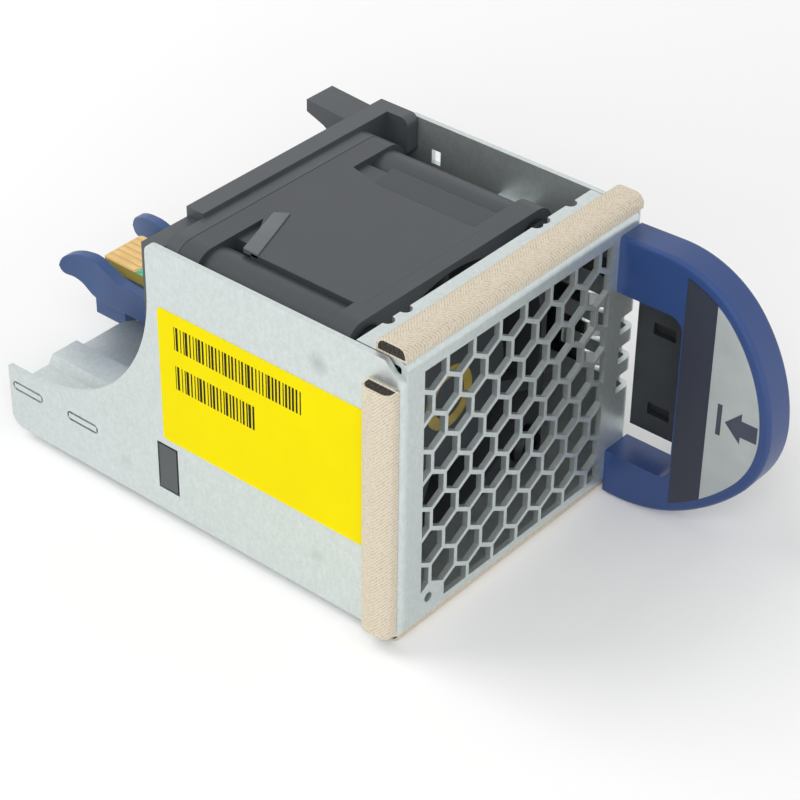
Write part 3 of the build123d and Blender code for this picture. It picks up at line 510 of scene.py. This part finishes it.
def circuit_board(name, bare_from=None):
    """Glass-epoxy board: green mask, lines that stand for tracks, tan edges and tan bare end."""
    material, tree, shader = new_material(name, "#2FA678", 0.0, 0.4, 1.5)
    tint = surface(
        tree, shader, placed(tree), ("#1F8F66", "#3DB98A"), (0.32, 0.45), 1.2, 0.3, 0.01
    )
    tracks = add_node(
        tree,
        "ShaderNodeTexVoronoi",
        {"Vector": placed(tree)},
        {"Scale": per(TRACK_MM), "Randomness": 0.6},
        distance="CHEBYCHEV",
        feature="DISTANCE_TO_EDGE",
    )
    lines = add_node(
        tree,
        "ShaderNodeMath",
        {0: tracks.outputs["Distance"]},
        {1: TRACK_SHARE},
        operation="LESS_THAN",
    )
    tint = overprint(tree, shader, tint, lines.outputs["Value"], "#7FD8B4")
    if bare_from is not None:
        field = window(tree, ("X", "Y"), (-WIDE_MM, bare_from), (WIDE_MM, WIDE_MM))
        tint = overprint(tree, shader, tint, field, "#E2BE80")
    # The cut edges show the laminate itself.
    facing = add_node(tree, "ShaderNodeNewGeometry")
    parts = add_node(tree, "ShaderNodeSeparateXYZ", {"Vector": facing.outputs["Normal"]})
    sides = add_node(
        tree, "ShaderNodeMath", {0: parts.outputs["Z"]}, {1: 0.0, 2: 0.5}, operation="COMPARE"
    )
    overprint(tree, shader, tint, sides.outputs["Value"], "#B5A54E")
    return material


def chip_bodies():
    """Chip resistors and capacitors: pale ceramic, mottled in place of separate tinned ends."""
    material, tree, shader = new_material("chip_ceramic", "#D8E6DC", 0.1, 0.4)
    surface(tree, shader, placed(tree), ("#9FB8A8", "#F2F6F0"), (0.3, 0.5), 0.7, 0.2, 0.01)
    return material


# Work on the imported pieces


def assign(material, *names):
    """Gives CAD nodes their material in place of the plain one."""
    for name in names:
        mesh = NODES[name].data
        mesh.materials.clear()
        mesh.materials.append(material)


def finish_mesh(name, builder, material, body):
    """Turns a bmesh into a piece that rides on a body."""
    bmesh.ops.recalc_face_normals(builder, faces=builder.faces)
    mesh = bpy.data.meshes.new(name)
    builder.to_mesh(mesh)
    builder.free()
    mesh.materials.append(material)
    piece = bpy.data.objects.new(name, mesh)
    bpy.context.scene.collection.objects.link(piece)
    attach(piece, body)
    return piece


# Edges that turn by more than this are softened.
SHARP_ANGLE = math.radians(40)


def add_extruded(builder, points, along, round_mm=0.0, edge_mm=0.0):
    """Extrudes a flat outline, rounds its corners and softens its edges; all in mm."""
    face = builder.faces.new([builder.verts.new(Vector(point) * MM) for point in points])
    raised = bmesh.ops.extrude_face_region(builder, geom=[face])["geom"]
    moved = [v for v in raised if isinstance(v, bmesh.types.BMVert)]
    bmesh.ops.translate(builder, verts=moved, vec=Vector(along) * MM)
    shell = [face, *(f for v in moved for f in v.link_faces)]
    bmesh.ops.recalc_face_normals(builder, faces=list(set(shell)))
    if round_mm:
        upright = {e for v in moved for e in v.link_edges if e.other_vert(v) not in moved}
        bevel_edges(builder, upright, round_mm, segments=6)
    if edge_mm:
        sharp = {
            e
            for e in builder.edges
            if len(e.link_faces) == 2 and e.calc_face_angle() > SHARP_ANGLE
        }
        bevel_edges(builder, sharp, edge_mm, segments=2)


def bevel_edges(builder, edges, width_mm, segments):
    """Rounds some edges of a builder."""
    bmesh.ops.bevel(
        builder,
        geom=list(edges),
        offset=width_mm * MM,
        offset_type="OFFSET",
        clamp_overlap=True,
        affect="EDGES",
        segments=segments,
        profile=0.5,
        material=-1,
    )


def extruded(name, points, along, material, body, edge_mm=0.0):
    """A piece made of one extruded outline."""
    builder = bmesh.new()
    add_extruded(builder, points, along, edge_mm=edge_mm)
    return finish_mesh(name, builder, material, body)


# Sizes of the added pieces, in millimetres. Heights on the fan count from its highest face.
# Plate that makes the fan's top flat, as an outline (x, y), with its low and high side.
FAN_PLATE = ((6.9, 12.2), (29.6, 12.2), (29.6, 28.6), (31.2, 35.4), (15.4, 35.4), (6.9, 30.2))
FAN_PLATE_Z = (-1.1, 0.02)
# Slanted rib that closes the plate at the rear left.
FAN_RIB = ((6.9, 28.9), (16.9, 32.6), (15.7, 34.4), (6.9, 31.4))
FAN_RIB_Z = (-0.5, 0.22)
# Flank between the plate's groove and the right tube, as a front view (x, z), with its ends.
FAN_FLANK = ((30.1, -1.2), (30.1, -0.75), (34.3, -0.1), (34.3, -1.2))
FAN_FLANK_Y = (12.4, 30.6)
# Softening of the edges of the plate and the flank, and of the rib.
FAN_EDGE = 0.08
RIB_EDGE = 0.1

# Printed bar and arrow on the handle's film, as outlines (y, z).
PULL_BAR = ((-16.65, 16.45), (-17.35, 16.45), (-17.35, 21.2), (-16.65, 21.2))
PULL_ARROW = (
    (-17.9, 18.85),
    (-20.3, 16.5),
    (-20.3, 17.6),
    (-22.75, 17.6),
    (-22.75, 20.1),
    (-20.3, 20.1),
    (-20.3, 21.2),
)

# Floors of the latch pad's slots: left side, thickness, middles, and half the length and height.
PAD_FLOOR_X = 47.3
PAD_FLOOR_T = 0.5
PAD_SLOT_Y = -5.2
PAD_SLOTS_Z = (12.1, 24.7)
PAD_FLOOR_HALF = (1.9, 1.05)

# Side view (y, z) of the plug guide's walls: a level root, then an S that rises to a blunt tip.
HORN_SIDE = (
    (43.1, 12.0),
    (43.1, 16.2),
    (62.0, 16.2),
    (66.0, 16.5),
    (70.4, 18.5),
    (74.0, 18.1),
    (76.5, 16.7),
    (76.5, 14.3),
    (73.4, 14.2),
    (70.6, 11.9),
)
# Side view (y, z) of the beam under the board, with its keel behind the tail floor.
BEAM_SIDE = (
    (43.1, 8.6),
    (69.4, 8.6),
    (69.4, 5.5),
    (75.3, 5.5),
    (75.3, 13.5),
    (71.9, 13.5),
    (71.9, 15.15),
    (43.1, 15.15),
)
# Half the beam's width.
BEAM_HALF = 2.7
# Floor of the channel that carries the board.
CHANNEL_Y = (43.1, 60.0)
CHANNEL_Z = (13.3, 15.15)
# Middle of the plug, how far from it the walls' outer sides stand, and the walls' thickness.
PLUG_X = 24.2
HORN_OUTER = 7.1
HORN_WALL = 1.7
# Rounding of the walls' corners, and softening of their edges.
HORN_ROUND = 1.3
HORN_EDGE = 0.3
# How far the walls' tips bend outwards, from where to where (y), and in how many steps.
HORN_FLARE = 1.0
FLARE_FROM = 69.5
FLARE_TO = 76.5
FLARE_STEPS = 8
# Bare board in front of the contacts.
BARE_BEFORE_MM = 0.3


def add_horn(builder, side):
    """Adds one wall of the plug guide, with its tip bent outwards; side is -1 or 1."""
    wall = bmesh.new()
    outer = LEFT + PLUG_X + side * HORN_OUTER
    corners = [(outer, y, z) for y, z in HORN_SIDE]
    add_extruded(wall, corners, (-side * HORN_WALL, 0, 0), HORN_ROUND, HORN_EDGE)
    # Cuts across the tip let its flat sides follow the bend.
    for step in range(FLARE_STEPS):
        cut_y = FLARE_FROM + step * (FLARE_TO - FLARE_FROM) / FLARE_STEPS
        bmesh.ops.bisect_plane(
            wall,
            geom=[*wall.verts, *wall.edges, *wall.faces],
            plane_co=(0, cut_y * MM, 0),
            plane_no=(0, 1, 0),
        )
    for vertex in wall.verts:
        share = (vertex.co.y / MM - FLARE_FROM) / (FLARE_TO - FLARE_FROM)
        vertex.co.x += side * HORN_FLARE * MM * max(share, 0) ** 2
    mesh = bpy.data.meshes.new("guide_wall")
    wall.to_mesh(mesh)
    wall.free()
    builder.from_mesh(mesh)
    bpy.data.meshes.remove(mesh)


def plug_guide(resin):
    """The blind-mate guide: two S-shaped walls, the channel for the board and the keeled beam."""
    builder = bmesh.new()
    for side in (-1, 1):
        add_horn(builder, side)
    middle = LEFT + PLUG_X
    inner = HORN_OUTER - HORN_WALL / 2
    near, far = CHANNEL_Y
    low, high = CHANNEL_Z
    channel = [
        (middle + x, near, z)
        for x, z in ((-inner, low), (inner, low), (inner, high), (-inner, high))
    ]
    add_extruded(builder, channel, (0, far - near, 0))
    beam = [(middle - BEAM_HALF, y, z) for y, z in BEAM_SIDE]
    add_extruded(builder, beam, (2 * BEAM_HALF, 0, 0))
    return finish_mesh("plug_guide", builder, resin, "body")


# Small metal pieces: finish, dark and light tone, smoothest and roughest, size of its clouds in
# millimetres, and the nodes that have it.
SMALL_METALS = (
    # Stamped nickel-plated strip: bright and almost polished.
    ("nickel_strip", ("#C9C9C6", "#E2E2DF"), (0.18, 0.3), 2.0, ("spring_fingers",)),
    # Ground steel pins: the smoothest metal here.
    ("ground_steel", ("#B8BBBD", "#D2D5D6"), (0.15, 0.25), 2.0, ("fan_shaft", "latch_pin")),
    # Drawn steel cup: grey and satin.
    ("drawn_cup", ("#8E9294", "#A7ABAD"), (0.3, 0.42), 2.0, ("rotor_cup",)),
    # Drawn spring wire: darker than the pins, still glossy.
    ("music_wire", ("#9A9C9E", "#B9BBBD"), (0.25, 0.35), 2.0, ("latch_spring",)),
    # Screws with black zinc: dark, with a dull gleam.
    ("black_zinc", ("#35373A", "#4A4C50"), (0.35, 0.5), 2.0, ("handle_screws", "fan_screws")),
    # Turned brass: warm and satin.
    ("brass_tube", ("#A08D6E", "#BBA788"), (0.3, 0.42), 2.0, ("bearing_tube",)),
    # Pressed bronze powder: brown, matt and mottled.
    ("sintered_bronze", ("#7E5F3C", "#A27E52"), (0.5, 0.65), 0.4, ("fan_bearings",)),
    # Stacked electrical steel: mid grey and dull.
    ("core_steel", ("#6F7274", "#8A8D8F"), (0.4, 0.55), 2.0, ("stator_core",)),
    # Enamelled wire: copper red and satin, with small clouds in place of single turns.
    ("enamelled_copper", ("#8C3F1C", "#B8602E"), (0.25, 0.4), 0.3, ("stator_windings",)),
)


class FANTRAY_OT_metal(bpy.types.Operator):
    """Finishes the folded tray and the small metal pieces"""

    bl_idname = "fan_tray.metal"
    bl_label = "Metal pieces"

    def execute(self, context):
        assign(galvanised_sheet(), "tray")
        for name, tones, rough, cloud_mm, nodes in SMALL_METALS:
            assign(plain_metal(name, tones, rough, cloud_mm), *nodes)
        return {"FINISHED"}


class FANTRAY_OT_fan(bpy.types.Operator):
    """Finishes the fan, its motor and the rear frame"""

    bl_idname = "fan_tray.fan"
    bl_label = "Fan and rear frame"

    def execute(self, context):
        # The fixed parts are dark grey and satin, the impeller is darker and glossier, and the
        # magnet's rubber is matt.
        fan = moulded("fan_resin", ("#3B3F43", colours().black), (0.38, 0.5))
        assign(fan, "fan_frame")
        assign(moulded("impeller_resin", ("#24272A", "#2E3134"), (0.28, 0.4)), "impeller")
        assign(moulded("frame_resin", ("#43474B", "#4B4F53"), (0.38, 0.5)), "rear_frame")
        magnet = moulded("ferrite_rubber", ("#2C2A29", "#3A3736"), (0.6, 0.75), cloud_mm=1.5)
        assign(magnet, "rotor_magnet")
        assign(motor_label_film(), "motor_label")
        assign(circuit_board("motor_laminate"), "motor_board")
        # The rib is painted paler than the plate, a painted highlight on its slanted face, and it is
        # glossier.
        rib_highlight = moulded("rib_highlight_resin", ("#54585C", "#63676B"), (0.24, 0.34))
        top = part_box("fan_frame")[1].z / MM
        for name, outline, (low, high), resin, edge_mm in (
            ("fan_top_plate", FAN_PLATE, FAN_PLATE_Z, fan, FAN_EDGE),
            ("fan_top_rib", FAN_RIB, FAN_RIB_Z, rib_highlight, RIB_EDGE),
        ):
            corners = [(LEFT + x, y, top + low) for x, y in outline]
            extruded(name, corners, (0, 0, high - low), resin, "body", edge_mm)
        near, far = FAN_FLANK_Y
        corners = [(LEFT + x, near, top + z) for x, z in FAN_FLANK]
        extruded("fan_top_flank", corners, (0, far - near, 0), fan, "body", FAN_EDGE)
        return {"FINISHED"}


class FANTRAY_OT_gaskets(bpy.types.Operator):
    """Covers the gaskets with cloth and shows the foam at their ends"""

    bl_idname = "fan_tray.gaskets"
    bl_label = "Gaskets"

    def execute(self, context):
        for name, along in (("top_gasket", "X"), ("bottom_gasket", "X"), ("side_gasket", "Z")):
            low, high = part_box(name)
            middle = (low.y + high.y) / 2 / MM
            assign(conductive_cloth(f"{name}_cloth", along, middle), name)
        assign(open_foam(), "top_gasket_foam", "bottom_gasket_foam", "side_gasket_foam")
        return {"FINISHED"}


class FANTRAY_OT_labels(bpy.types.Operator):
    """Prints the asset label, and the film of the handle with its arrow and bar"""

    bl_idname = "fan_tray.labels"
    bl_label = "Labels"

    def execute(self, context):
        assign(asset_label(), "side_label")
        assign(handle_film(), "handle_label")
        # Printed ink: a dark blue grey, a little raised and satin.
        ink, tree, shader = new_material("screen_ink", "#3A3E4E", 0.0, 0.45, 1.5)
        surface(tree, shader, placed(tree), ("#363A49", "#404455"), (0.4, 0.5), 3.0, 0.2, 0.002)
        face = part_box("handle_label")[0].x / MM
        for name, outline in (("pull_bar", PULL_BAR), ("pull_arrow", PULL_ARROW)):
            corners = [(face, y, z) for y, z in outline]
            extruded(name, corners, (-prints().ink_height, 0, 0), ink, "body")
        return {"FINISHED"}


class FANTRAY_OT_handle(bpy.types.Operator):
    """Finishes the handle and its latch"""

    bl_idname = "fan_tray.handle"
    bl_label = "Handle and latch"

    def execute(self, context):
        # Blue resin with a soft gloss, and a duller, nearly black one for the latch.
        assign(moulded("handle_resin", ("#244177", colours().blue), (0.3, 0.42)), "handle")
        assign(moulded("latch_resin", ("#25282C", "#2F3236"), (0.4, 0.55)), "latch")
        # Each of the pad's two finger slots gets a near-black, matt floor inside its wall: painted
        # shade for the slot's recess.
        resin = moulded("slot_painted_shade_resin", ("#0E0F11", "#151719"), (0.6, 0.7))
        half_l, half_h = PAD_FLOOR_HALF
        for number, z_mm in enumerate(PAD_SLOTS_Z, 1):
            corners = [
                (LEFT + PAD_FLOOR_X, PAD_SLOT_Y + dy, z_mm + dz)
                for dy, dz in (
                    (-half_l, -half_h),
                    (half_l, -half_h),
                    (half_l, half_h),
                    (-half_l, half_h),
                )
            ]
            extruded(f"pad_slot_shade_floor_{number}", corners, (PAD_FLOOR_T, 0, 0), resin, "release")
        return {"FINISHED"}


class FANTRAY_OT_plug(bpy.types.Operator):
    """Finishes the blind-mate board and its guide"""

    bl_idname = "fan_tray.plug"
    bl_label = "Plug"

    def execute(self, context):
        # The guide is of a paler blue than the handle, and a little duller.
        resin = moulded("guide_resin", ("#2B4878", "#345386"), (0.34, 0.46))
        assign(resin, "connector_guide")
        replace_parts(plug_guide(resin), "connector_guide")
        bare_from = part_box("edge_contacts")[0].y / MM - BARE_BEFORE_MM
        assign(circuit_board("plug_laminate", bare_from), "connector_board")
        assign(chip_bodies(), "board_components")
        # Gold plate: warm and satin, with an even fine grain.
        assign(plain_metal("gold_plate", ("#E6C07A", "#F2D396"), (0.3, 0.42)), "edge_contacts")
        return {"FINISHED"}


class FANTRAY_OT_stage(bpy.types.Operator):
    """Sets the camera, the floor and the studio light"""

    bl_idname = "fan_tray.stage"
    bl_label = "Stage"

    def execute(self, context):
        scene = context.scene
        scene.view_settings.view_transform = "Standard"
        photo_camera(scene)
        white_world(scene)
        pale_floor(scene)
        settings = stage_settings()
        soft_lamp("key_light", (-0.42, -0.28, 0.42), settings.key_power)
        soft_lamp("back_light", (-0.20, 0.42, 0.52), settings.back_power)
        soft_lamp("fill_light", (0.20, -0.52, 0.24), settings.fill_power)
        return {"FINISHED"}


# Stage

# Azimuth, elevation and roll of the photograph's camera in degrees, and its place in mm.
CAMERA_TURN = (-50.159, 35.392, 0.761)
CAMERA_PLACE = (-199.80, -146.65, 199.38)
SENSOR_WIDTH = 36.0
# Side of each square lamp, and half the side of the table, in metres.
LAMP_SIZE = 0.36
TABLE_HALF = 1.5
# Distances from the origin, in metres, between which the table's glow grows, and the glow at the
# far one, where the lamps no longer reach.
GLOW_FROM = 0.1
GLOW_TO = 0.55
FAR_FLOOR_LIFT = 0.6


def photo_camera(scene):
    """Camera at the photograph's place, turned and rolled as it was."""
    camera = bpy.data.cameras.new("photo_camera")
    camera.lens = stage_settings().lens
    camera.sensor_width = SENSOR_WIDTH
    camera.clip_start = 0.01
    rig = bpy.data.objects.new("photo_camera", camera)
    azimuth, elevation, roll = (math.radians(v) for v in CAMERA_TURN)
    forward = Vector(
        (
            -math.sin(azimuth) * math.cos(elevation),
            math.cos(azimuth) * math.cos(elevation),
            -math.sin(elevation),
        )
    )
    right = forward.cross(Vector((0, 0, 1))).normalized()
    up = right.cross(forward)
    turned_right = right * math.cos(roll) + up * math.sin(roll)
    turned_up = up * math.cos(roll) - right * math.sin(roll)
    place = [v * MM for v in CAMERA_PLACE]
    rows = [(turned_right[i], turned_up[i], -forward[i], place[i]) for i in range(3)]
    rig.matrix_world = Matrix((*rows, (0, 0, 0, 1)))
    scene.collection.objects.link(rig)
    scene.camera = rig


def seen_directly(tree):
    """1 for camera, glossy and transmission rays, 0 for the light that falls on the object."""
    path = add_node(tree, "ShaderNodeLightPath")
    shiny = add_node(
        tree,
        "ShaderNodeMath",
        {0: path.outputs["Is Glossy Ray"], 1: path.outputs["Is Transmission Ray"]},
        operation="MAXIMUM",
    )
    seen = add_node(
        tree,
        "ShaderNodeMath",
        {0: path.outputs["Is Camera Ray"], 1: shiny.outputs["Value"]},
        operation="MAXIMUM",
    )
    return seen.outputs["Value"]


def white_world(scene):
    """White where it is seen or mirrored, and an even pale light elsewhere."""
    world = bpy.data.worlds.new("studio")
    world.use_nodes = True
    tree = world.node_tree
    strength = add_node(
        tree,
        "ShaderNodeMapRange",
        {"Value": seen_directly(tree)},
        {"To Min": stage_settings().world_level, "To Max": 1.0},
    )
    background = tree.nodes["Background"]
    background.inputs["Color"].default_value = (1.0, 1.0, 1.0, 1.0)
    tree.links.new(strength.outputs["Result"], background.inputs["Strength"])
    scene.world = world


def pale_floor(scene):
    """A plain pale table that keeps the object's shadow and fades into the white behind it."""
    material, tree, shader = new_material("pale_table", "#F6F6F6", 0.0, 0.9)
    # Far from the object, where the lamps no longer reach, the glow takes their place.
    coords = add_node(tree, "ShaderNodeTexCoord").outputs["Object"]
    away = add_node(tree, "ShaderNodeVectorMath", {0: coords}, operation="LENGTH")
    lift = add_node(
        tree,
        "ShaderNodeMapRange",
        {"Value": away.outputs["Value"]},
        {
            "From Min": GLOW_FROM,
            "From Max": GLOW_TO,
            "To Min": stage_settings().floor_lift,
            "To Max": FAR_FLOOR_LIFT,
        },
    )
    glow = add_node(
        tree,
        "ShaderNodeMath",
        {0: seen_directly(tree), 1: lift.outputs["Result"]},
        operation="MULTIPLY",
    )
    shader.inputs["Emission Color"].default_value = (1.0, 1.0, 1.0, 1.0)
    tree.links.new(glow.outputs["Value"], shader.inputs["Emission Strength"])
    builder = bmesh.new()
    bmesh.ops.create_grid(builder, x_segments=1, y_segments=1, size=TABLE_HALF)
    lowest = min(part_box(name)[0].z for name in NODES)
    bmesh.ops.translate(builder, verts=builder.verts, vec=(0, 0, lowest))
    mesh = bpy.data.meshes.new("table")
    builder.to_mesh(mesh)
    builder.free()
    mesh.materials.append(material)
    table = bpy.data.objects.new("table", mesh)
    scene.collection.objects.link(table)


def soft_lamp(name, place, power):
    """A square area lamp that looks at the middle of the part."""
    lamp = bpy.data.lights.new(name, "AREA")
    lamp.shape = "SQUARE"
    lamp.size = LAMP_SIZE
    lamp.energy = power
    rig = bpy.data.objects.new(name, lamp)
    # Metal and gloss mirror the white room, not the lamps themselves.
    rig.visible_glossy = False
    target = (Vector(CAD_BOX[0]) + Vector(CAD_BOX[1])) / 2
    rig.location = place
    rig.rotation_euler = (target - Vector(place)).to_track_quat("-Z", "Y").to_euler()
    bpy.context.scene.collection.objects.link(rig)


OPERATORS = (
    FANTRAY_OT_metal,
    FANTRAY_OT_fan,
    FANTRAY_OT_gaskets,
    FANTRAY_OT_labels,
    FANTRAY_OT_handle,
    FANTRAY_OT_plug,
    FANTRAY_OT_stage,
)


class FANTRAY_PT_panel(bpy.types.Panel):
    """Lists the groups of pieces and their settings"""

    bl_label = "Fan tray"
    bl_idname = "FANTRAY_PT_panel"
    bl_space_type = "VIEW_3D"
    bl_region_type = "UI"
    bl_category = "Fan tray"

    def draw(self, context):
        for operator in OPERATORS:
            self.layout.operator(operator.bl_idname)
        for group in (stage_settings(), colours(), prints()):
            box = self.layout.box()
            for name in group.bl_rna.properties.keys():
                if name not in ("rna_type", "name"):
                    box.prop(group, name)


GROUPS = {
    "fan_tray_stage": StageSettings,
    "fan_tray_colours": ColourSettings,
    "fan_tray_prints": PrintSettings,
}


def register():
    for cls in (*GROUPS.values(), *OPERATORS, FANTRAY_PT_panel):
        bpy.utils.register_class(cls)
    for name, group in GROUPS.items():
        setattr(bpy.types.Scene, name, bpy.props.PointerProperty(type=group))


def unregister():
    for name in GROUPS:
        delattr(bpy.types.Scene, name)
    for cls in reversed((*GROUPS.values(), *OPERATORS, FANTRAY_PT_panel)):
        bpy.utils.unregister_class(cls)


def main():
    register()
    for step in ("metal", "fan", "gaskets", "labels", "handle", "plug", "stage"):
        getattr(bpy.ops.fan_tray, step)()


if __name__ == "__main__":
    main()
